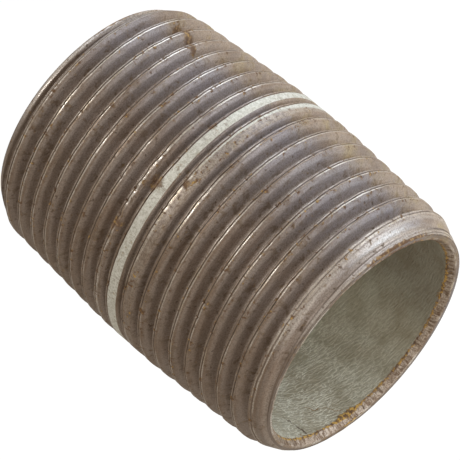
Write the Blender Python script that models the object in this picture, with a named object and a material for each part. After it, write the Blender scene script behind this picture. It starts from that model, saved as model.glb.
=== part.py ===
"""Close pipe nipple, 3/4 inch: a short steel tube threaded from both ends to the middle.

Frame: metres, +Z up along the tube's axis, origin at the centre of the lower end face.
The piece is one solid, as the real one is: a length of pipe whose two outside threads
meet half way along it.
"""
import math

import bmesh
import bpy

# Driving dimensions, in metres
PIPE_RADIUS = 0.013335          # 3/4 in pipe is 1.050 in across
BORE_RADIUS = 0.0107
LENGTH = 0.0339                 # 1-3/8 in nominal, cut short within its 1/16 in tolerance
PITCH = 0.0254 / 14             # 14 threads to the inch
FLANK_ANGLE = math.radians(30)  # each flank from the plane square to the axis
THREAD_DEPTH = 0.0012
CREST_SLOPE = 0.060             # radius that the crests lose per metre towards each end
MIDDLE_LAND = 0.0032            # half length of the middle stretch at full pipe radius
CREST_WIDTH = 0.00048
BAND_EXTRA = 0.00095            # how much wider the crest is where the two threads run out
BAND_CENTRE = -0.50             # place of the widest crest, in turns from the first one above the middle
BAND_REACH = 1.0                # turns over which the crest comes back to its usual width
CREST_PHASE = 0.43              # first crest above the middle, in pitches, on the -Y side
LOWER_LEAD = 0.09               # the two threads are cut from opposite ends and do not quite line up
END_RADIUS = 0.0116             # outer edge of the flat end face, where the chamfer starts
CHAMFER_SLOPE = 0.45            # radius that the chamfer gains per metre away from the end
REAM_RADIUS = 0.01105           # inner edge of the flat end face
REAM_DEPTH = 0.00065            # depth at which the reamed mouth meets the bore

TURN_SEGMENTS = 48
MIDDLE = LENGTH / 2
ROWS_PER_TURN = 3               # lower crest edge, upper crest edge, root
TRIM_MARGIN = 0.001             # how far the trimming tube stands clear of the crests


def crest_radius(z):
    """Radius of the thread crests at height z."""
    past_land = max(0.0, abs(z - MIDDLE) - MIDDLE_LAND)
    return PIPE_RADIUS - CREST_SLOPE * past_land


def crest_edges(turn):
    """Heights of a crest's two edges; turns count along the helix from the first one above the middle."""
    lead = LOWER_LEAD * min(1.0, max(0.0, (-3 - turn) / 3))
    centre = MIDDLE + PITCH * (CREST_PHASE + lead + turn)
    extra = BAND_EXTRA * math.exp(-((turn - BAND_CENTRE) / BAND_REACH) ** 2)
    half_width = (CREST_WIDTH + extra) / 2
    return centre - half_width, centre + half_width


def thread_point(row, angle):
    """Point of one thread row at an angle, which is counted from the -Y side."""
    whole_turns, kind = divmod(row, ROWS_PER_TURN)
    turn = whole_turns + angle / math.tau
    lower, upper = crest_edges(turn)
    if kind < 2:
        z = (lower, upper)[kind]
        radius = crest_radius(z)
    else:
        next_lower = crest_edges(turn + 1)[0]
        z = (upper + next_lower) / 2
        depth = min(THREAD_DEPTH, (next_lower - upper) / 2 / math.tan(FLANK_ANGLE))
        radius = crest_radius(z) - depth
    return (radius * math.sin(angle), -radius * math.cos(angle), z)


def threaded_rod(name):
    """Solid rod with one continuous right-hand thread, longer than the nipple at both ends."""
    turns_each_way = math.ceil(MIDDLE / PITCH) + 2
    first_row = -turns_each_way * ROWS_PER_TURN
    row_count = 2 * turns_each_way * ROWS_PER_TURN
    mesh = bmesh.new()
    grid = []
    for index in range(row_count + ROWS_PER_TURN):
        angles = [math.tau * step / TURN_SEGMENTS for step in range(TURN_SEGMENTS)]
        points = [thread_point(first_row + index, angle) for angle in angles]
        grid.append([mesh.verts.new(point) for point in points])

    def vertex(index, step):
        """Vertex at a row and step; a full turn on, the helix has climbed to the next turn's row."""
        turns, step = divmod(step, TURN_SEGMENTS)
        return grid[index + turns * ROWS_PER_TURN][step]

    for index in range(row_count - 1):
        for step in range(TURN_SEGMENTS):
            mesh.faces.new((vertex(index, step), vertex(index, step + 1),
                            vertex(index + 1, step + 1), vertex(index + 1, step)))

    def cap(index, upward):
        """Close one end with a fan from the axis to the helical rim and its one-turn step."""
        rim = [vertex(index, step) for step in range(TURN_SEGMENTS + 1)]
        rim += [grid[index + drop][0] for drop in range(ROWS_PER_TURN - 1, 0, -1)]
        if not upward:
            rim.reverse()
        hub = mesh.verts.new((0, 0, rim[0].co.z))
        for here, there in zip(rim, rim[1:] + rim[:1]):
            mesh.faces.new((hub, here, there))

    cap(0, False)
    cap(row_count - 1, True)
    loose = [vert for vert in mesh.verts if not vert.link_faces]
    bmesh.ops.delete(mesh, geom=loose, context='VERTS')
    bmesh.ops.recalc_face_normals(mesh, faces=mesh.faces)
    return finish_mesh(name, mesh)


def trimming_tube(name):
    """Tube that gives the nipple its length, its chamfered ends, its reamed mouths and its bore."""
    clear_radius = PIPE_RADIUS + TRIM_MARGIN
    chamfer_height = (clear_radius - END_RADIUS) / CHAMFER_SLOPE
    half_outline = [
        (BORE_RADIUS, LENGTH - REAM_DEPTH),
        (REAM_RADIUS, LENGTH),
        (END_RADIUS, LENGTH),
        (clear_radius, LENGTH - chamfer_height),
    ]
    outline = half_outline + [(radius, LENGTH - z) for radius, z in reversed(half_outline)]
    mesh = bmesh.new()
    verts = [mesh.verts.new((radius, 0, z)) for radius, z in outline]
    edges = [mesh.edges.new(pair) for pair in zip(verts, verts[1:] + verts[:1])]
    bmesh.ops.spin(mesh, geom=verts + edges, axis=(0, 0, 1), cent=(0, 0, 0),
                   angle=math.tau, steps=TURN_SEGMENTS, use_merge=True)
    bmesh.ops.recalc_face_normals(mesh, faces=mesh.faces)
    tube = finish_mesh(name, mesh)
    tube.hide_render = True
    tube.display_type = 'WIRE'
    return tube


def finish_mesh(name, mesh):
    """Turn a bmesh into a smooth-shaded object with sharp edges kept."""
    data = bpy.data.meshes.new(name)
    mesh.to_mesh(data)
    mesh.free()
    data.shade_smooth()
    data.set_sharp_from_angle(angle=math.radians(25))
    part = bpy.data.objects.new(name, data)
    bpy.context.scene.collection.objects.link(part)
    return part


def steel(name):
    """Bare threaded steel that has dulled to a warm grey."""
    material = bpy.data.materials.new(name)
    material.use_nodes = True
    shader = material.node_tree.nodes["Principled BSDF"]
    shader.inputs["Base Color"].default_value = (0.21, 0.18, 0.16, 1)
    shader.inputs["Metallic"].default_value = 0.75
    shader.inputs["Roughness"].default_value = 0.48
    return material


def build():
    """Make the nipple: the threaded rod trimmed by the tube."""
    for old in list(bpy.data.objects):
        bpy.data.objects.remove(old, do_unlink=True)
    nipple = threaded_rod("pipe_nipple")
    nipple.data.materials.append(steel("dulled_steel"))
    trim = nipple.modifiers.new("trim_to_tube", 'BOOLEAN')
    trim.operation = 'INTERSECT'
    trim.solver = 'EXACT'
    trim.object = trimming_tube("trimming_tube")


build()
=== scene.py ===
"""Close pipe nipple, worn and partly rusted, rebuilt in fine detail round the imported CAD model.

Frame: metres, +Z up along the tube's axis, origin at the centre of the lower end face.
Angles are counted round the axis from the -Y side, towards +X. A "turn" is a place along
the thread: whole turns climb one pitch each, and the fraction is the angle.
"""
import math
from types import SimpleNamespace

import bmesh
import bpy
import numpy as np
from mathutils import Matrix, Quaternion, Vector


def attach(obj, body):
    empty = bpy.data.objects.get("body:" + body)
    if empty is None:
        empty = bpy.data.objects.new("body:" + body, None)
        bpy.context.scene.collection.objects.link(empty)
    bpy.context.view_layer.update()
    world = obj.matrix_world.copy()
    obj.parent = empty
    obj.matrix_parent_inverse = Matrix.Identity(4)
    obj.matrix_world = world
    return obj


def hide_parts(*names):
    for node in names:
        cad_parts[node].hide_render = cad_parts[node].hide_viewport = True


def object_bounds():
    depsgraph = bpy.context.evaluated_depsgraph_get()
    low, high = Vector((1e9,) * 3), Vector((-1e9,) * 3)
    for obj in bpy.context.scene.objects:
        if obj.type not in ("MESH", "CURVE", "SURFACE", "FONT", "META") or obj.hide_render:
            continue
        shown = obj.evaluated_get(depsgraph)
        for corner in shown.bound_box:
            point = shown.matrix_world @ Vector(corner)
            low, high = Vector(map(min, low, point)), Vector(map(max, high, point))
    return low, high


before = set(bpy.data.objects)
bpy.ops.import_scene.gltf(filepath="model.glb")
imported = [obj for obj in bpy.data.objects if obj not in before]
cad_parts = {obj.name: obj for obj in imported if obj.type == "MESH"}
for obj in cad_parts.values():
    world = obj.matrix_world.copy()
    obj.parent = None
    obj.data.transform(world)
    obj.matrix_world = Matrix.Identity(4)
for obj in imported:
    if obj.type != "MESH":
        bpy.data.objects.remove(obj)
cad_low, cad_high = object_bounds()

MM = 0.001

# Sizes shared with the CAD model
LENGTH = cad_high.z
MIDDLE = LENGTH / 2
PIPE_RADIUS = cad_high.x
PITCH = 25.4 * MM / 14          # 14 threads to the inch
FLANK_SLOPE = math.tan(math.radians(30))
THREAD_DEPTH = 1.2 * MM
CREST_SLOPE = 0.060             # radius that the crests lose per metre towards each end
MIDDLE_LAND = 3.2 * MM          # half length of the middle stretch at full pipe radius
CREST_PHASE = 0.43              # first crest above the middle, in pitches, on the -Y side
LOWER_LEAD = 0.09               # the two threads are cut from opposite ends and do not quite line up
CREST_WIDTH = 0.48 * MM
BAND_EXTRA = 0.95 * MM          # how much wider the crest is where the two threads run out
BAND_CENTRE = -0.50             # turn at which the crest is widest
BAND_REACH = 1.0
END_RADIUS = 11.6 * MM          # outer edge of the flat end face, where the chamfer starts
CHAMFER_SLOPE = 0.45            # radius that the chamfer gains per metre away from the end
LOWER_CHAMFER_SLOPE = 0.60      # the lower end looks blunter than the CAD model's
REAM_RADIUS = 11.05 * MM        # inner edge of the flat end face
REAM_DEPTH = 0.65 * MM
BORE_RADIUS = 10.7 * MM

# Fine shape
SKIN = 0.012 * MM               # the crests stay this far inside the CAD box
LIP_WIDTH = 0.25 * MM           # the burr rolled up along the lower edge of each crest
SEAM_DEPTH = 0.10 * MM          # the fold between the burr and the rest of the crest
EDGE_ROUND = 0.05 * MM
ROOT_WIDTH = 0.10 * MM
NICK_DEPTH = 0.16 * MM
EDGE_WANDER = 0.03 * MM         # long waves of a crest's lower edge
EDGE_RIPPLE = 0.02 * MM         # short waves of a crest's lower edge
UPPER_WAVE = 0.018 * MM
LIP_WEAR = 0.035 * MM           # how far the burr is worn down where it is worn most
FLAT_ROUGH = 0.012 * MM
LEAN = 0.22                     # how far the roots lean towards the upper end, as a share of a flank's run
COLUMNS = 480                   # steps round the tube
TURNS_EACH_WAY = 11             # thread made each way from the middle, before its ends are cut off
BORE_RINGS = 44
SHARP_ANGLE = math.radians(50)

# Turns of the thread where something differs, and how many turns it reaches
RAGGED_TURN, RAGGED_REACH = -1.93, 0.16         # the burr below the band is torn here
UNDERCUT_SHADOW_TURN, UNDERCUT_SHADOW_REACH = 7.77, 0.05      # painted shadow in the space under the crest here
BARE_TURN, BARE_REACH = -0.10, 0.24             # bare light steel follows the zinc strip
PATCHY_TURN, PATCHY_REACH = -2.0, 0.35          # scraps of zinc below the band
BAND_START = (-1.75, -1.45)                     # the zinc of the band fades in and out over these turns
BAND_STOP = (-0.55, -0.40)

# Directions round the tube
FRONT_LEFT = math.radians(318)
FRONT_RIGHT = math.radians(55)
BACK_RIGHT = math.radians(148)
LEFT = math.radians(255)


# ---------------------------------------------------------------- noise
class Noise:
    """Smooth value noise on a lattice that wraps round the tube."""

    def __init__(self, seed, cells_round, rows=512):
        self.table = np.random.default_rng(seed).uniform(-1, 1, (rows, cells_round))

    def __call__(self, angle, height):
        """Noise at an angle in radians and a height in lattice rows."""
        rows, cells = self.table.shape
        u = np.mod(angle / math.tau, 1) * cells
        v = height + rows / 2
        left = np.floor(u).astype(int)
        down = np.floor(v).astype(int)
        across = smooth(0, 1, u - left)
        upward = smooth(0, 1, v - down)
        row, column = down % rows, left % cells
        next_row, next_column = (down + 1) % rows, (left + 1) % cells
        low = self.table[row, column] * (1 - across) + self.table[row, next_column] * across
        high = self.table[next_row, column] * (1 - across) + self.table[next_row, next_column] * across
        return low * (1 - upward) + high * upward


def smooth(low, high, value):
    """Smooth step from 0 at low to 1 at high."""
    share = np.clip((value - low) / (high - low), 0, 1)
    return share * share * (3 - 2 * share)


def hump(centre, reach, value):
    """Bell shape that is 1 at the centre."""
    return np.exp(-((value - centre) / reach) ** 2)


# ---------------------------------------------------------------- thread
def crest_radius(z):
    """Radius of the crests at height z."""
    past_land = np.maximum(0, np.abs(z - MIDDLE) - MIDDLE_LAND)
    return PIPE_RADIUS - SKIN - CREST_SLOPE * past_land


def crest_width(turn):
    """Width of the crest, which widens where the two threads run out into each other."""
    return CREST_WIDTH + BAND_EXTRA * hump(BAND_CENTRE, BAND_REACH, turn)


def crest_centre(turn):
    """Height of the middle of the crest."""
    lead = LOWER_LEAD * np.clip((-3 - turn) / 3, 0, 1)
    return MIDDLE + PITCH * (CREST_PHASE + lead + turn)


# One turn of the thread, row by row from the crest's lower edge: which part of the profile a
# row is on, its share along that part, and how far it is sunk below the crest there.
PROFILE = [
    ("lip", 0.0, 1.2 * EDGE_ROUND),
    ("lip", 0.25, 0.0),
    ("lip", 0.55, 0.1 * EDGE_ROUND),
    ("lip", 0.76, SEAM_DEPTH),
    ("lip", 1.0, 0.2 * EDGE_ROUND),
    ("flat", 0.3, 0.0),
    ("flat", 0.65, 0.0),
    ("flat", 0.9, 0.25 * EDGE_ROUND),
    ("flat", 1.0, EDGE_ROUND),
    ("fall", 0.18, 0.0),
    ("fall", 0.42, 0.0),
    ("fall", 0.68, 0.0),
    ("fall", 0.88, 0.0),
    ("root", -0.5, 0.0),
    ("root", 0.5, 0.0),
    ("rise", 0.55, 0.0),
    ("rise", 0.88, 0.0),
]
FLAT_REACH = {0.3: 0.08 * MM, 0.65: 0.28 * MM}      # farthest a flat row may lie from the fold
SEAM_ROWS = {2: 0.25, 3: 1.0, 4: 0.4}
# Rows painted bright: the worn burr and crest edge, partly a painted highlight line
BRIGHT_ROWS = {1: 0.6, 5: 1.0}
UNDERCUT_SHADOW_ROWS = {0: 1.0, 15: 0.7, 16: 1.0}

wander = Noise(11, 60)
ripple = Noise(12, 160)
burr = Noise(13, 96)
chips = Noise(14, 260)
patches = Noise(16, 24)


def flank_sink(share):
    """Depth along a flank as a share of the whole, eased where it meets the crest and root."""
    return 0.7 * share + 0.3 * (0.5 - 0.5 * np.cos(np.pi * share))


def thread_rows(columns):
    """Angles, heights, radii and surface marks of the thread, one row after another."""
    angle = np.arange(columns) * math.tau / columns
    rows = []
    for whole_turn in range(-TURNS_EACH_WAY, TURNS_EACH_WAY + 1):
        turn = whole_turn + angle / math.tau
        ragged = hump(RAGGED_TURN, RAGGED_REACH, turn)
        wave = EDGE_WANDER * wander(angle, 4 * turn) + EDGE_RIPPLE * ripple(angle, 9 * turn)
        rough = 1 + 1.5 * ragged
        nick = smooth(0.80 - 0.45 * ragged, 0.98, chips(angle, 6.1 * turn))
        worn = 0.5 + 0.5 * burr(angle, 5.3 * turn)
        # Painted shadow under the overhanging crest near the upper end, added to the dark crease mark
        undercut_shadow = hump(UNDERCUT_SHADOW_TURN, UNDERCUT_SHADOW_REACH, turn)
        centre = crest_centre(turn)
        lower = centre - crest_width(turn) / 2 + wave * rough
        upper = centre + crest_width(turn) / 2 + UPPER_WAVE * burr(angle, 7.7 * turn + 40)
        next_lower = crest_centre(turn + 1) - crest_width(turn + 1) / 2
        gap = next_lower - upper
        depth = np.minimum(THREAD_DEPTH, (gap - ROOT_WIDTH) / 2 / FLANK_SLOPE)
        run = depth * FLANK_SLOPE
        half_root = gap / 2 - run
        root = (upper + next_lower) / 2 + LEAN * run
        for index, (part, share, drop) in enumerate(PROFILE):
            fade = 0.0
            if part == "lip":
                fade = 1.0
                z = lower + LIP_WIDTH * share
                sink = drop * (0.4 + 0.9 * worn) + LIP_WEAR * worn * rough * (share < 0.7)
            elif part == "flat":
                fade = 0.35
                span = upper - lower - LIP_WIDTH
                z = lower + LIP_WIDTH + np.minimum(share * span, FLAT_REACH.get(share, 1))
                sink = drop + FLAT_ROUGH * (1 + ripple(angle, 11 * turn + 3 * share)) * rough
            elif part == "fall":
                z = upper + (1 + LEAN) * run * share
                sink = depth * flank_sink(share)
            elif part == "root":
                z = root + 2 * half_root * share
                sink = depth
            else:
                z = next_lower - (1 - LEAN) * run * (1 - share)
                sink = depth * (1 - share)
            sink = sink + NICK_DEPTH * nick * fade
            on_crest = part in ("lip", "flat")
            rows.append({
                "z": z,
                "radius": crest_radius(z) - sink,
                "depth": np.zeros(columns) if on_crest else np.clip(sink / THREAD_DEPTH, 0, 1),
                "crest": np.full(columns, float(on_crest)),
                "bright": np.full(columns, BRIGHT_ROWS.get(index, 0.0)),
                "seam": np.maximum(SEAM_ROWS.get(index, 0.0) * (0.6 + 0.4 * worn),
                                   UNDERCUT_SHADOW_ROWS.get(index, 0.0) * undercut_shadow),
                "nick": nick * fade,
                "band": (part == "flat") * hump(BARE_TURN, BARE_REACH, turn),
                "zinc": zinc_cover(turn, angle, part, share),
            })
    stacked = {name: np.array([row[name] for row in rows]) for name in rows[0]}
    return angle, stacked


def zinc_cover(turn, angle, part, share):
    """How much zinc is left: whole on the unthreaded band, a strip beside it, patches beyond."""
    past_band = smooth(*BAND_STOP, turn)
    band = smooth(*BAND_START, turn) * (1 - past_band)
    strip_end = 0.0 if share < 0.4 else -0.13
    strip = past_band * (1 - smooth(strip_end - 0.1, strip_end + 0.06, turn)) * (share < 0.7)
    beside = smooth(0.1, 0.6, patches(angle, 3 * turn)) * hump(PATCHY_TURN, PATCHY_REACH, turn) * 0.35
    if part == "flat":
        return np.clip(band * (share < 0.95) + strip + beside, 0, 1)
    return 0.25 * band * (part == "fall" and share < 0.3)


def end_limit(z):
    """Largest radius that the chamfers leave at height z."""
    return END_RADIUS + np.minimum(LOWER_CHAMFER_SLOPE * z, CHAMFER_SLOPE * (LENGTH - z))


# Surface marks kept on the mesh for the material: 0 where there is none, and more where there is more
MARKS = ("depth", "crest", "bright", "seam", "nick", "band", "zinc", "stain", "turned", "inside",
         "mouth", "lip_rust")
HIGHLIGHT_DROP = 1.05 * MM          # the painted highlight on the upper chamfer is centred this far below the end


def thread_skin():
    """Open helical skin of both threads, cut square at the two ends."""
    angle, rows = thread_rows(COLUMNS)
    limit = end_limit(rows["z"])
    radius = np.minimum(rows["radius"], limit)
    upper_turned = 0.55 * smooth(-0.05 * MM, 0.05 * MM, rows["radius"] - limit) * (rows["z"] > MIDDLE)
    # Painted highlight: a pale spot on the upper chamfer at the front left, where a lamp is mirrored
    painted_highlight_spot = hump(LENGTH - HIGHLIGHT_DROP, 0.35 * MM, rows["z"]) * hump(FRONT_LEFT, 0.33, angle)
    rows["turned"] = np.maximum(upper_turned, painted_highlight_spot)
    rows["stain"] = stain_at(angle, rows["z"])
    to_end = np.minimum(rows["z"], LENGTH - rows["z"])
    rows["seam"] = np.maximum(rows["seam"], 0.8 * smooth(0.14 * MM, 0.02 * MM, to_end))
    rows["lip_rust"] = 1.1 * smooth(0.5 * MM, 0.1 * MM, to_end) * hump(FRONT_LEFT, 0.5, angle)
    points = np.stack([radius * np.sin(angle), -radius * np.cos(angle), rows["z"]], -1)
    per_turn = len(PROFILE)
    row = np.arange(len(radius) - per_turn - 1)[:, None]
    step = np.arange(COLUMNS)[None, :]
    ahead = (step + 1) % COLUMNS
    climb = per_turn * (step + 1 == COLUMNS)
    corners = [(row, step), (row + climb, ahead), (row + climb + 1, ahead), (row + 1, step)]
    quads = np.stack([(r * COLUMNS + c).ravel() for r, c in corners], -1)
    mesh = bpy.data.meshes.new("thread_skin")
    mesh.from_pydata(points.reshape(-1, 3).tolist(), [], quads.tolist())
    for name in MARKS:
        values = rows.get(name, np.zeros_like(radius))
        mesh.attributes.new(name, 'FLOAT', 'POINT').data.foreach_set("value", values.ravel())
    skin = bmesh.new()
    skin.from_mesh(mesh)
    bpy.data.meshes.remove(mesh)
    for height, out in ((0.0, -1), (LENGTH, 1)):
        bmesh.ops.bisect_plane(skin, geom=skin.verts[:] + skin.edges[:] + skin.faces[:],
                               plane_co=(0, 0, height), plane_no=(0, 0, out), clear_outer=True)
    return skin


# Places where rust or old dirt sits: angle in degrees, height and reach in mm, and strength
STAINS = [
    (5, 15.2, 0.9, 1.0),
    (-2, 17.7, 0.5, 0.7),
    (-25, 15.3, 0.45, 0.8),
    (-8, 10.3, 0.35, 0.6),
    (-50, 7.1, 0.6, 0.8),
    (-56, 5.9, 0.8, 0.9),
    (-58, 4.3, 1.1, 1.0),
    (-101, 7.7, 0.6, 1.0),
    (-106, 10.5, 0.6, 1.0),
    (27, 14.2, 0.9, 0.7),
]


def stain_at(angle, z):
    """Strength of the stains at a point of the outside."""
    total = np.zeros_like(z)
    for degrees, height, reach, strength in STAINS:
        away = np.mod(angle - math.radians(degrees) + math.pi, math.tau) - math.pi
        distance = np.hypot(away * PIPE_RADIUS, z - height * MM)
        total = np.maximum(total, strength * hump(0, reach * MM, distance))
    return total


# ---------------------------------------------------------------- ends and bore
def angle_of(vert):
    """Angle of a vertex about the axis."""
    return math.atan2(vert.co.x, -vert.co.y) % math.tau


def end_loop(skin, height):
    """Vertices of the skin's open edge at one end, in order round the axis."""
    rim = {vert for edge in skin.edges if edge.is_boundary for vert in edge.verts}
    return sorted((vert for vert in rim if abs(vert.co.z - height) < 1e-7), key=angle_of)


def zip_loops(mesh, first, second):
    """Triangles between two closed loops that are both sorted by their angle."""
    a = b = 0
    while a < len(first) or b < len(second):
        here_a, here_b = first[a % len(first)], second[b % len(second)]
        next_a = first[(a + 1) % len(first)]
        next_b = second[(b + 1) % len(second)]
        angle_a = angle_of(next_a) + math.tau * (a + 1 >= len(first))
        angle_b = angle_of(next_b) + math.tau * (b + 1 >= len(second))
        if b >= len(second) or (a < len(first) and angle_a <= angle_b):
            mesh.faces.new((here_a, next_a, here_b))
            a += 1
        else:
            mesh.faces.new((here_a, next_b, here_b))
            b += 1


def bore_rings():
    """Radius, height and marks of each ring from the upper end face down to the lower one."""
    # Radius, distance from the end, and marks, from the end face inwards
    half = [
        (REAM_RADIUS + 0.42 * MM, 0.0, {"seam": 0.45, "lip_rust": 0.2}),
        (REAM_RADIUS + 0.26 * MM, 0.0, {"seam": 0.6, "lip_rust": 0.3}),
        (REAM_RADIUS + 0.16 * MM, 0.0, {"bright": 1.0, "lip_rust": 0.4}),
        (REAM_RADIUS + 0.03 * MM, 0.0, {"bright": 1.0, "lip_rust": 0.5}),
        (REAM_RADIUS, 0.03 * MM, {"bright": 0.5, "mouth": 0.7, "lip_rust": 0.5}),
        (REAM_RADIUS - 0.04 * MM, 0.10 * MM, {"mouth": 1.0, "lip_rust": 0.25}),
        (REAM_RADIUS - 0.18 * MM, 0.36 * MM, {"mouth": 1.0, "lip_rust": 0.3}),
        (BORE_RADIUS + 0.05 * MM, REAM_DEPTH - 0.08 * MM, {"mouth": 1.0, "lip_rust": 0.9}),
        (BORE_RADIUS, REAM_DEPTH + 0.02 * MM, {"mouth": 0.6, "lip_rust": 1.0}),
        (BORE_RADIUS, REAM_DEPTH + 0.16 * MM, {"inside": 1.0, "lip_rust": 0.6}),
        (BORE_RADIUS, REAM_DEPTH + 0.5 * MM, {"inside": 1.0, "lip_rust": 0.2}),
        (BORE_RADIUS, REAM_DEPTH + 1.2 * MM, {"inside": 1.0}),
    ]
    deepest = half[-1][1]
    heights = np.linspace(LENGTH - deepest, deepest, BORE_RINGS)[1:-1]
    middle = [(BORE_RADIUS, z, {"inside": 1.0}) for z in heights]
    upper = [(radius, LENGTH - depth, marks) for radius, depth, marks in half]
    return upper + middle + [tuple(ring) for ring in reversed(half)]


dents = Noise(17, 14)
notches = Noise(18, 110)


def add_ring(mesh, radius, z, marks):
    """New ring of vertices on an end face, in a mouth or in the bore, a little uneven as seamed pipe is."""
    angle = np.arange(COLUMNS) * math.tau / COLUMNS
    inside = marks.get("inside", 0.0)
    lip_rust = marks.get("lip_rust", 0.0)
    rusted = 0.75 + 0.4 * dents(angle, 7.5) + 1.2 * hump(BACK_RIGHT, 0.11, angle)
    rusted += 0.35 * hump(LEFT, 0.35, angle) + 1.5 * hump(FRONT_LEFT, 0.45, angle)
    uneven = 0.03 * MM * dents(angle, z / (6 * MM)) * inside
    chipped = 0.06 * MM * notches(angle, 0.7 * z / MM) * lip_rust * rusted
    radii = radius + uneven + chipped
    verts = []
    for theta, r in zip(angle, radii):
        verts.append(mesh.verts.new((r * math.sin(theta), -r * math.cos(theta), z)))
    shares = {"lip_rust": rusted, "seam": 0.6 + 0.9 * hump(FRONT_RIGHT, 0.8, angle)}
    for name, value in marks.items():
        layer = mesh.verts.layers.float[name]
        for vert, share in zip(verts, shares.get(name, np.ones(COLUMNS))):
            vert[layer] = value * share
    return verts


def build_nipple():
    """The whole nipple as one closed skin: threads, end faces, reamed mouths and bore."""
    mesh = thread_skin()
    top_loop, bottom_loop = end_loop(mesh, LENGTH), end_loop(mesh, 0.0)
    rings = [add_ring(mesh, *ring) for ring in bore_rings()]
    for upper, lower in zip(rings, rings[1:]):
        for i in range(COLUMNS):
            j = (i + 1) % COLUMNS
            mesh.faces.new((upper[i], upper[j], lower[j], lower[i]))
    zip_loops(mesh, top_loop, rings[0])
    zip_loops(mesh, bottom_loop, rings[-1])
    bmesh.ops.recalc_face_normals(mesh, faces=mesh.faces)
    data = bpy.data.meshes.new("pipe_nipple_skin")
    mesh.to_mesh(data)
    mesh.free()
    data.shade_smooth()
    data.set_sharp_from_angle(angle=SHARP_ANGLE)
    piece = bpy.data.objects.new("pipe_nipple_skin", data)
    bpy.context.scene.collection.objects.link(piece)
    return piece


# ---------------------------------------------------------------- material
class Shader:
    """Short hand for wiring up one node material."""

    def __init__(self, name):
        self.material = bpy.data.materials.new(name)
        self.material.use_nodes = True
        self.nodes = self.material.node_tree.nodes
        self.links = self.material.node_tree.links
        self.surface = self.nodes["Principled BSDF"]

    def plug(self, socket, value):
        """Link a socket to the input, or set the input to a number or colour."""
        if isinstance(value, bpy.types.NodeSocket):
            self.links.new(value, socket)
        elif isinstance(value, tuple) and len(value) == 3 and socket.type == 'RGBA':
            socket.default_value = (*value, 1)
        else:
            socket.default_value = value

    def mark(self, name):
        """A surface mark stored on the mesh."""
        node = self.nodes.new("ShaderNodeAttribute")
        node.attribute_name = name
        return node.outputs["Fac"]

    def math(self, operation, first, second=0.0):
        """Result of a Math node."""
        node = self.nodes.new("ShaderNodeMath")
        node.operation = operation
        self.plug(node.inputs[0], first)
        self.plug(node.inputs[1], second)
        return node.outputs[0]

    def times(self, first, *others):
        """Product of all the values."""
        for other in others:
            first = self.math('MULTIPLY', first, other)
        return first

    def plus(self, first, *others):
        """Sum of all the values."""
        for other in others:
            first = self.math('ADD', first, other)
        return first

    def step(self, value, low, high, start=0.0, end=1.0):
        """Smooth step of a value from low to high, giving start to end."""
        node = self.nodes.new("ShaderNodeMapRange")
        node.interpolation_type = 'SMOOTHSTEP'
        for slot, content in zip(range(5), (value, low, high, start, end)):
            self.plug(node.inputs[slot], content)
        return node.outputs[0]

    def vector(self, x, y, z):
        """Vector made of three values."""
        node = self.nodes.new("ShaderNodeCombineXYZ")
        for slot, content in enumerate((x, y, z)):
            self.plug(node.inputs[slot], content)
        return node.outputs[0]

    def noise(self, vector, scale, detail=2.0, distortion=0.0, w=None):
        """Noise read at a vector, and at a fourth coordinate where one is given."""
        node = self.nodes.new("ShaderNodeTexNoise")
        if w is not None:
            node.noise_dimensions = '4D'
            self.plug(node.inputs["W"], w)
        self.plug(node.inputs["Vector"], vector)
        node.inputs["Scale"].default_value = scale
        node.inputs["Detail"].default_value = detail
        node.inputs["Distortion"].default_value = distortion
        return node.outputs["Fac"]

    def hairline(self, angle, z, start, end, width, wobble):
        """Thin wavering line on the bore between two places, each an angle in degrees and a height in mm."""
        reach = math.radians(end[0] - start[0]) * BORE_RADIUS / MM
        rise = end[1] - start[1]
        length = math.hypot(reach, rise)
        out = self.times(self.math('SUBTRACT', angle, math.radians(start[0])), BORE_RADIUS / MM)
        up = self.math('SUBTRACT', z, start[1])
        along = self.plus(self.times(out, reach / length), self.times(up, rise / length))
        off = self.plus(self.times(out, rise / length), self.times(up, -reach / length),
                        self.times(self.math('SUBTRACT', wobble, 0.5), 1.2))
        near = self.step(self.math('ABSOLUTE', off), width / 2, width * 1.5, 1.0, 0.0)
        return self.times(near, self.step(along, 0.0, 0.5), self.step(along, length - 0.5, length, 1.0, 0.0))

    def mix(self, factor, first, second):
        """Blend of two colours."""
        node = self.nodes.new("ShaderNodeMix")
        node.data_type = 'RGBA'
        self.plug(node.inputs[0], factor)
        self.plug(node.inputs[6], first)
        self.plug(node.inputs[7], second)
        return node.outputs[2]

    def blend(self, factor, first, second):
        """Blend of two numbers."""
        node = self.nodes.new("ShaderNodeMix")
        self.plug(node.inputs[0], factor)
        self.plug(node.inputs[2], first)
        self.plug(node.inputs[3], second)
        return node.outputs[0]


# Base colours
STEEL_GREY = (0.390, 0.330, 0.292)
STEEL_BROWN = (0.270, 0.198, 0.152)
STEEL_COOL_REFLECTION = (0.322, 0.305, 0.335)
ROOT_PAINTED_LIGHT = (0.63, 0.555, 0.505)
STEEL_FLANK = (0.350, 0.305, 0.285)
CREST_WORN_AND_HIGHLIGHT = (0.95, 0.89, 0.80)
CREST_GOLD = (0.60, 0.47, 0.28)
CREST_DULL = (0.26, 0.175, 0.105)
BAND_STEEL = (0.50, 0.43, 0.36)
TURNED_STEEL_AND_HIGHLIGHT = (0.90, 0.83, 0.76)
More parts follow.
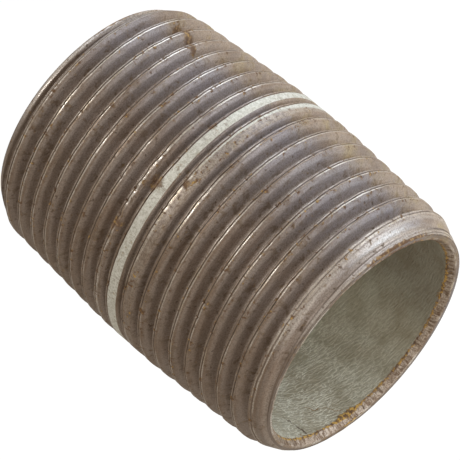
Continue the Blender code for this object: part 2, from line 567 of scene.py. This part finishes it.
# Dark colour for dirt specks and lines, also used for painted shade in the bore and painted shadow under the
# crests
GRIME_AND_SHADE = (0.12, 0.085, 0.060)
WARM_BROWN = (0.27, 0.185, 0.115)
OLD_DIRT = (0.175, 0.122, 0.078)
TAN_FILM_AND_REFLECTION = (0.56, 0.44, 0.335)
YELLOW_FILM_AND_REFLECTION = (0.54, 0.42, 0.24)
ZINC = (0.68, 0.67, 0.61)
ZINC_DULL = (0.48, 0.465, 0.40)
BORE_DARK = (0.40, 0.370, 0.285)
BORE_ZINC = (0.520, 0.505, 0.420)
BORE_TAN = (0.42, 0.34, 0.24)
BORE_WRINKLE_AND_HIGHLIGHT = (0.85, 0.84, 0.735)
MOUTH_DARK = (0.21, 0.155, 0.115)
MOUTH_STEEL = (0.66, 0.57, 0.49)
RUST_ORANGE = (0.59, 0.355, 0.070)
RUST_GOLD = (0.46, 0.285, 0.085)
RUST_TAN = (0.30, 0.195, 0.10)
RUST_BROWN = (0.13, 0.065, 0.028)
PIT_DARK = (0.095, 0.066, 0.044)

WRINKLE_LEAD = 11.3             # mm that the wrinkles in the bore climb in one turn
HAIRLINE_WIDTH = 0.05           # mm
# Thin lines on the bore: two ends, each an angle in degrees and a height in mm, and a colour
HAIRLINES = [
    ((118, 30.0), (121, 33.4), GRIME_AND_SHADE),
    ((133, 30.4), (149, 32.8), RUST_TAN),
]


def round_noise(s, f, spread, along, detail, distortion=0.0):
    """Noise that is drawn out round the tube, as a cutter's marks are."""
    place = s.vector(s.times(f.across, spread), s.times(f.forward, spread), s.times(f.z, along))
    return s.noise(place, 1.0, detail, distortion)


def surface_fields(s):
    """Surface marks, places in mm and noises that the layers of the material share."""
    f = SimpleNamespace(**{name: s.mark(name) for name in MARKS})
    split = s.nodes.new("ShaderNodeSeparateXYZ")
    s.plug(split.inputs[0], s.nodes.new("ShaderNodeTexCoord").outputs["Object"])
    x, y, f.z = [s.math('DIVIDE', out, MM) for out in split.outputs]
    f.place = s.vector(x, y, f.z)
    f.angle = s.math('ARCTAN2', x, s.math('MULTIPLY', y, -1.0))
    f.across = s.math('SINE', f.angle)
    f.forward = s.math('COSINE', f.angle)
    f.leftward = s.times(f.across, -1.0)

    # Noises: two drawn out round the tube, and the rest even, from the broadest to the finest
    f.lines = round_noise(s, f, 4.0, 5.0, 3.0)
    f.hair = round_noise(s, f, 14.0, 26.0, 2.0)
    f.cloud = s.noise(f.place, 0.22, 3.0)
    f.soiled = s.noise(f.place, 0.45, 3.0)
    f.smudge = s.noise(f.place, 1.3, 4.0, 0.5)
    f.speck = s.noise(f.place, 2.6, 1.0, 0.1)
    f.fleck = s.noise(f.place, 2.6, 2.0, 0.6)
    f.grain = s.noise(f.place, 3.2, 3.0)
    f.sand = s.noise(f.place, 8.0, 2.0)

    # The tan film lies on the left, and stays further round near the upper end; its light tan is partly a
    # painted reflection
    film_shift = s.step(f.z, 21.0, 27.0, 0.0, 0.09)
    f.film_side = s.step(s.math('SUBTRACT', f.leftward, film_shift), 0.70, 0.90)
    f.zinc_cover = s.step(s.plus(f.zinc, s.times(f.grain, 0.5)), 0.55, 0.85)
    return f


def dull_steel(s, f):
    """Steel of the threads before wear: brown and grey, with a painted cool reflection on the left and
    painted light in the roots, then tan film further round that is partly a painted reflection.
    """
    streaks = s.plus(s.times(f.lines, 0.6), s.times(f.cloud, 0.4))
    steel = s.mix(s.step(streaks, 0.36, 0.62), STEEL_BROWN, STEEL_GREY)
    flank = s.times(s.step(f.depth, 0.02, 0.15), s.step(f.depth, 0.55, 0.95, 1.0, 0.0))
    steel = s.mix(s.times(flank, s.step(f.cloud, 0.38, 0.58, 0.3, 0.75)), steel, STEEL_FLANK)
    # Painted reflection: a cool blue-grey tint on the left side, where the steel mirrors bluish light
    cool_reflection_side = s.times(s.step(f.leftward, 0.05, 0.55), s.step(f.film_side, 0.2, 1.0, 1.0, 0.0))
    steel = s.mix(s.times(cool_reflection_side, s.step(f.cloud, 0.35, 0.60, 0.75, 0.45)), steel, STEEL_COOL_REFLECTION)
    # Painted light: the thread roots lightened against the shade they lie in, more on the cool side and
    # towards +X
    root_painted_light = s.plus(0.42, s.times(cool_reflection_side, 0.20), s.step(f.across, 0.3, 0.8, 0.0, 0.45))
    steel = s.mix(s.times(s.step(f.depth, 0.45, 1.0), root_painted_light), steel, ROOT_PAINTED_LIGHT)

    # Tan film, partly a painted reflection that lightens this side down into the roots
    film_cloud = s.plus(s.times(f.cloud, 0.6), s.times(f.smudge, 0.4))
    film = s.times(f.film_side, s.step(film_cloud, 0.36, 0.58, 0.2, 1.0), 0.8)
    steel = s.mix(film, steel, s.mix(s.step(f.soiled, 0.50, 0.62), TAN_FILM_AND_REFLECTION, YELLOW_FILM_AND_REFLECTION))
    # Darker and browner towards +X
    steel = s.mix(s.step(f.across, -0.1, 0.7, 0.0, 0.30), steel, WARM_BROWN)
    steel = s.mix(s.step(f.depth, 0.15, 0.75, 0.20, 0.0), steel, GRIME_AND_SHADE)
    steel = s.mix(s.times(f.band, s.step(f.grain, 0.30, 0.60), 0.8), steel, BAND_STEEL)

    soiling = s.plus(s.step(f.soiled, 0.40, 0.56), s.step(f.leftward, 0.55, 0.85, 0.0, 0.5))
    dirt = s.step(s.plus(s.times(f.smudge, 0.7), s.times(f.grain, 0.3)), 0.50, 0.60)
    dirt = s.times(dirt, soiling, s.step(f.leftward, 0.2, 0.6, 0.65, 0.30))
    return s.mix(dirt, steel, OLD_DIRT)


def rub_steel(s, f, steel):
    """Steel with its crests rubbed bright and its ends turned and scraped, both partly a painted highlight,
    and how glossy it is there.
    """
    long_wear = round_noise(s, f, 3.0, 1.1, 1.0)
    wear = s.plus(s.times(f.hair, 0.4), s.times(long_wear, 0.6), s.step(f.z, 8.0, 3.0, 0.0, 0.07))
    rubbed = s.step(wear, 0.42, 0.55)
    golden = s.step(s.noise(f.place, 0.6, 2.0), 0.52, 0.66, 0.0, 0.6)
    crest_colour = s.mix(rubbed, CREST_DULL, s.mix(golden, CREST_WORN_AND_HIGHLIGHT, CREST_GOLD))
    # Worn crest edges, partly a painted highlight: near white, stronger on the -X side, fainter under the
    # film
    lip_wear_and_highlight = s.times(f.bright, s.step(f.across, 0.2, 0.9, 0.9, 0.5), s.blend(f.film_side, 1.0, 0.35))
    steel = s.mix(lip_wear_and_highlight, steel, crest_colour)

    # The lower end has a scraped rim, a dark fold and a fainter scraped line, in mm above the end; the rim
    # and line are painted pale, partly as a painted highlight
    above_end = s.plus(f.z, s.times(s.math('SUBTRACT', f.lines, 0.5), 0.25))
    second_line = s.times(s.step(above_end, 0.74, 0.80), s.step(above_end, 0.92, 0.86), 0.45)
    scraped_and_highlight = s.math('MAXIMUM', s.step(above_end, 0.55, 0.42), second_line)
    # Turned chamfers and lower rim painted pale, partly a painted highlight, fading out towards +X and under
    # the film
    turned = s.times(s.math('MAXIMUM', f.turned, scraped_and_highlight), s.step(f.lines, 0.30, 0.55, 0.35, 1.0),
                     s.step(f.across, 0.55, 0.1), s.blend(f.film_side, 1.0, 0.6))
    steel = s.mix(s.times(turned, 0.75), steel, TURNED_STEEL_AND_HIGHLIGHT)
    steel = s.mix(s.step(f.sand, 0.36, 0.60, 0.39, 0.0), steel, GRIME_AND_SHADE)
    end_fold = s.times(s.step(above_end, 0.50, 0.58), s.step(above_end, 0.78, 0.70))
    steel = s.mix(s.times(end_fold, 0.7), steel, GRIME_AND_SHADE)

    polish = s.times(f.bright, rubbed, s.blend(f.film_side, 1.0, 0.4))
    return steel, s.math('MAXIMUM', polish, s.times(turned, 0.7))


def mouth_steel(s, f):
    """Steel of the reamed mouth, and the chatter that the cutter left across it."""
    chatter = round_noise(s, f, 40.0, 1.2, 3.0, 0.5)
    cut = s.mix(s.step(chatter, 0.36, 0.62), MOUTH_DARK, MOUTH_STEEL)
    cut = s.mix(s.step(f.sand, 0.42, 0.56, 0.45, 0.0), cut, RUST_BROWN)
    tanned = s.times(s.step(f.forward, -0.35, 0.45, 0.35, 0.85), s.step(f.smudge, 0.40, 0.56))
    cut = s.mix(tanned, cut, s.mix(s.step(f.sand, 0.42, 0.60), RUST_BROWN, RUST_TAN))
    return cut, chatter


def bore_zinc(s, f):
    """Zinc in the bore, darker towards -X as painted shade, and the short wrinkles that slant across it,
    their ridges partly a painted highlight.
    """
    slant = s.math('SUBTRACT', s.times(f.z, math.tau / WRINKLE_LEAD), f.angle)
    around = [s.times(value, 18.0) for value in (f.across, f.forward)]
    along, aside = [s.times(s.math(part, slant), 11.0) for part in ('COSINE', 'SINE')]
    wrinkle = s.noise(s.vector(*around, along), 1.0, 1.0, 0.4, w=aside)
    ridge = s.step(s.math('ABSOLUTE', s.math('SUBTRACT', wrinkle, 0.5)), 0.0, 0.06, 1.0, 0.0)
    mottle = s.noise(f.place, 0.5, 3.0)
    lining = s.mix(s.step(mottle, 0.30, 0.70), BORE_DARK, BORE_ZINC)
    lining = s.mix(s.step(f.cloud, 0.46, 0.62, 0.0, 0.18), lining, BORE_TAN)
    # Whitish wrinkle ridges, partly a painted highlight, stronger on the lit +X wall
    wrinkle_highlight_side = s.step(f.across, -0.45, 0.75, 0.25, 1.0)
    lining = s.mix(s.times(ridge, s.step(mottle, 0.30, 0.56, 0.3, 1.0), wrinkle_highlight_side), lining, BORE_WRINKLE_AND_HIGHLIGHT)
    # Painted shade: the bore wall darker towards -X, the side that faces away from the light
    lining = s.mix(s.step(f.across, -0.20, -0.75, 0.0, 0.48), lining, GRIME_AND_SHADE)
    for start, end, colour in HAIRLINES:
        lining = s.mix(s.hairline(f.angle, f.z, start, end, HAIRLINE_WIDTH, f.smudge), lining, colour)
    return lining, wrinkle


def add_dirt_and_shadow(s, f, colour):
    """Colour darkened in the crease of each crest, with painted shadow under the crest near the upper end,
    and with dirt in nicks and in pits; and how much all this dulls it.
    """
    # Darkened crease of each crest, and painted shadow under the crest near the upper end
    fold_and_shadow = s.times(s.step(f.seam, 0.1, 0.75), s.step(f.hair, 0.25, 0.50), 0.95)
    colour = s.mix(fold_and_shadow, colour, GRIME_AND_SHADE)
    colour = s.mix(s.step(f.nick, 0.25, 0.8, 0.0, 0.85), colour, RUST_BROWN)
    pits = s.times(s.step(f.speck, 0.685, 0.75), s.blend(f.inside, 0.7, 0.15),
                   s.blend(f.zinc_cover, 1.0, 0.25), s.blend(f.film_side, 1.0, 0.4))
    colour = s.mix(pits, colour, PIT_DARK)
    return colour, s.math('MAXIMUM', pits, s.times(fold_and_shadow, 0.8))


def add_rust(s, f, colour):
    """Colour with rust on it, how much rust there is, and how much of it rings the mouths."""
    # Specks, mostly on the crests
    specks = s.times(s.step(f.fleck, 0.565, 0.66), s.plus(s.times(f.crest, 0.65), 0.25),
                     s.blend(f.inside, 1.0, 0.3), s.step(f.soiled, 0.42, 0.54, 0.3, 1.0),
                     s.blend(f.zinc_cover, 1.0, 0.5))
    colour = s.mix(specks, colour, s.mix(s.step(f.grain, 0.50, 0.70), RUST_BROWN, RUST_GOLD))

    # A broken line round the edges of the bore, fresher at the back
    ring = s.plus(f.lip_rust, s.times(s.noise(f.place, 1.9, 4.0), 1.4), s.times(f.grain, 0.8),
                  s.times(f.sand, 0.6))
    ring = s.step(ring, 1.98, 2.3)
    fresh = s.step(s.plus(f.lip_rust, s.times(f.sand, 1.5)), 1.30, 1.80)
    fresh = s.times(fresh, s.step(f.forward, 0.2, -0.2, 0.12, 1.0))
    old = s.step(s.plus(f.grain, s.step(f.forward, 0.2, -0.2, -0.07, 0.0)), 0.42, 0.54)
    ring_cover = s.times(ring, 0.9)
    colour = s.mix(ring_cover, colour, s.mix(old, RUST_BROWN, s.mix(fresh, RUST_TAN, RUST_ORANGE)))

    # Blotches at the stains
    blotch = s.step(s.plus(f.stain, s.times(f.smudge, 1.2), s.times(f.sand, 0.5)), 1.15, 1.5)
    blotch_colour = s.mix(s.step(f.speck, 0.54, 0.76), RUST_TAN, RUST_GOLD)
    blotch_colour = s.mix(s.step(f.grain, 0.46, 0.62), RUST_BROWN, blotch_colour)
    colour = s.mix(s.times(blotch, 0.8), colour, blotch_colour)
    return colour, s.math('MAXIMUM', s.math('MAXIMUM', specks, blotch), ring_cover), ring


def worn_steel():
    """Dulled threaded steel with bright burred crests, zinc on the band and in the bore, and rust."""
    s = Shader("worn_steel")
    f = surface_fields(s)
    steel, gloss = rub_steel(s, f, dull_steel(s, f))
    frost = s.step(s.plus(s.times(f.grain, 0.5), s.times(f.sand, 0.5)), 0.40, 0.62)
    colour = s.mix(f.zinc_cover, steel, s.mix(frost, ZINC, ZINC_DULL))
    cut, chatter = mouth_steel(s, f)
    colour = s.mix(f.mouth, colour, cut)
    lining, wrinkle = bore_zinc(s, f)
    colour = s.mix(f.inside, colour, lining)
    colour, dirt = add_dirt_and_shadow(s, f, colour)
    colour, rust, ring = add_rust(s, f, colour)

    dull = s.math('MAXIMUM', rust, dirt)
    coated = s.math('MAXIMUM', f.zinc_cover, f.inside)
    metallic = s.times(s.blend(coated, 0.55, 0.25), s.math('SUBTRACT', 1.0, dull))
    roughness = s.blend(coated, s.blend(gloss, 0.46, 0.22), 0.55)
    roughness = s.plus(s.blend(dull, roughness, 0.9), s.times(s.math('SUBTRACT', f.hair, 0.5), 0.25))

    height = s.plus(s.times(f.hair, 0.4), s.times(f.lines, 0.5), s.times(f.grain, 0.25), s.times(dull, -0.6))
    outside = s.math('SUBTRACT', 1.0, s.math('MAXIMUM', f.inside, f.mouth))
    height = s.plus(s.times(height, outside), s.times(chatter, f.mouth, 2.2), s.times(wrinkle, f.inside, 3.0),
                    s.times(f.grain, f.inside, 0.8), s.times(ring, 0.6))
    bump = s.nodes.new("ShaderNodeBump")
    bump.inputs["Strength"].default_value = 0.8
    bump.inputs["Distance"].default_value = 0.04 * MM
    s.plug(bump.inputs["Height"], height)

    s.plug(s.surface.inputs["Base Color"], colour)
    s.plug(s.surface.inputs["Metallic"], metallic)
    s.plug(s.surface.inputs["Roughness"], roughness)
    s.plug(s.surface.inputs["Normal"], bump.outputs[0])
    return s.material


nipple = build_nipple()
nipple.data.materials.append(worn_steel())
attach(nipple, "root")
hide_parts("pipe_nipple")


# ---------------------------------------------------------------- stage
def white_floor(half_size):
    """Plain white floor that lights nothing and takes no shadow."""
    data = bpy.data.meshes.new("floor")
    corners = [(-half_size, -half_size, 0), (half_size, -half_size, 0),
               (half_size, half_size, 0), (-half_size, half_size, 0)]
    data.from_pydata(corners, [], [(0, 1, 2, 3)])
    made = bpy.data.objects.new("floor", data)
    bpy.context.scene.collection.objects.link(made)
    paper = bpy.data.materials.new("white_paper")
    paper.use_nodes = True
    surface = paper.node_tree.nodes["Principled BSDF"]
    surface.inputs["Base Color"].default_value = (0, 0, 0, 1)
    surface.inputs["Emission Color"].default_value = (1, 1, 1, 1)
    surface.inputs["Emission Strength"].default_value = 1.0
    data.materials.append(paper)
    made.visible_diffuse = False
    made.visible_glossy = False
    made.visible_shadow = False
    return made


def area_light(name, direction, distance, size, power, colour=(1, 1, 1)):
    """Square softbox that faces the middle of the nipple from a direction."""
    light = bpy.data.lights.new(name, 'AREA')
    light.size = size
    light.energy = power
    light.color = colour
    lamp = bpy.data.objects.new(name, light)
    bpy.context.scene.collection.objects.link(lamp)
    toward = Vector(direction).normalized()
    lamp.location = Vector((0, 0, MIDDLE)) + toward * distance
    lamp.rotation_mode = 'QUATERNION'
    lamp.rotation_quaternion = toward.to_track_quat('Z', 'Y')
    return lamp


def studio_world():
    """Warm light from all round, in front of a backdrop that the camera sees as white paper."""
    world = bpy.data.worlds.new("studio")
    world.use_nodes = True
    nodes, links = world.node_tree.nodes, world.node_tree.links
    glow = nodes["Background"]
    glow.inputs["Color"].default_value = (1.0, 0.91, 0.79, 1)
    glow.inputs["Strength"].default_value = 0.46
    paper = nodes.new("ShaderNodeBackground")
    paper.inputs["Color"].default_value = (1, 1, 1, 1)
    chooser = nodes.new("ShaderNodeMixShader")
    links.new(nodes.new("ShaderNodeLightPath").outputs["Is Camera Ray"], chooser.inputs[0])
    links.new(glow.outputs[0], chooser.inputs[1])
    links.new(paper.outputs[0], chooser.inputs[2])
    links.new(chooser.outputs[0], nodes["World Output"].inputs["Surface"])
    return world


floor = white_floor(3.0)
bpy.context.scene.world = studio_world()
area_light("sky_softbox", direction=(-0.1, 0.0, 1.0), distance=0.45, size=1.1, power=1.9,
           colour=(1.0, 0.95, 0.87))
area_light("low_left_softbox", direction=(-0.78, -0.05, -0.62), distance=0.4, size=0.30, power=0.98,
           colour=(0.76, 0.87, 1.0))
area_light("front_softbox", direction=(0.08, -0.887, -0.434), distance=0.5, size=0.12, power=0.6)
area_light("high_left_softbox", direction=(-0.8, -0.25, 0.55), distance=0.4, size=0.30, power=0.6,
           colour=(0.82, 0.91, 1.0))
area_light("high_back_softbox", direction=(-0.46, 0.35, 0.815), distance=0.4, size=0.25, power=0.36,
           colour=(0.50, 0.74, 1.0))
area_light("back_left_softbox", direction=(-0.72, 0.65, 0.1), distance=0.4, size=0.50, power=0.45,
           colour=(1.0, 0.97, 0.93))

# ---------------------------------------------------------------- camera
CAMERA_DISTANCE = 285.5 * MM
CAMERA_ELEVATION = 24.93        # degrees above the level of the nipple's middle
CAMERA_ROLL = 130.44            # degrees, because the photograph shows the nipple lying over
LENS = 254.8
SENSOR_WIDTH = 36
AIM_RIGHT = 0.172 * MM          # the photograph isn't framed exactly on the nipple's middle
AIM_DOWN = 0.188 * MM

camera_data = bpy.data.cameras.new("camera")
camera_data.lens = LENS
camera_data.sensor_width = SENSOR_WIDTH
camera_data.clip_start = 0.01
camera_data.clip_end = 10
camera = bpy.data.objects.new("camera", camera_data)
bpy.context.scene.collection.objects.link(camera)
bpy.context.scene.camera = camera
elevation = math.radians(CAMERA_ELEVATION)
back = Vector((0, -math.cos(elevation), math.sin(elevation)))
turned = back.to_track_quat('Z', 'Y') @ Quaternion((0, 0, 1), math.radians(CAMERA_ROLL))
camera.rotation_mode = 'QUATERNION'
camera.rotation_quaternion = turned
camera.location = Vector((0, 0, MIDDLE)) + back * CAMERA_DISTANCE + turned @ Vector((AIM_RIGHT, -AIM_DOWN, 0))
bpy.context.scene.view_settings.view_transform = 'Standard'
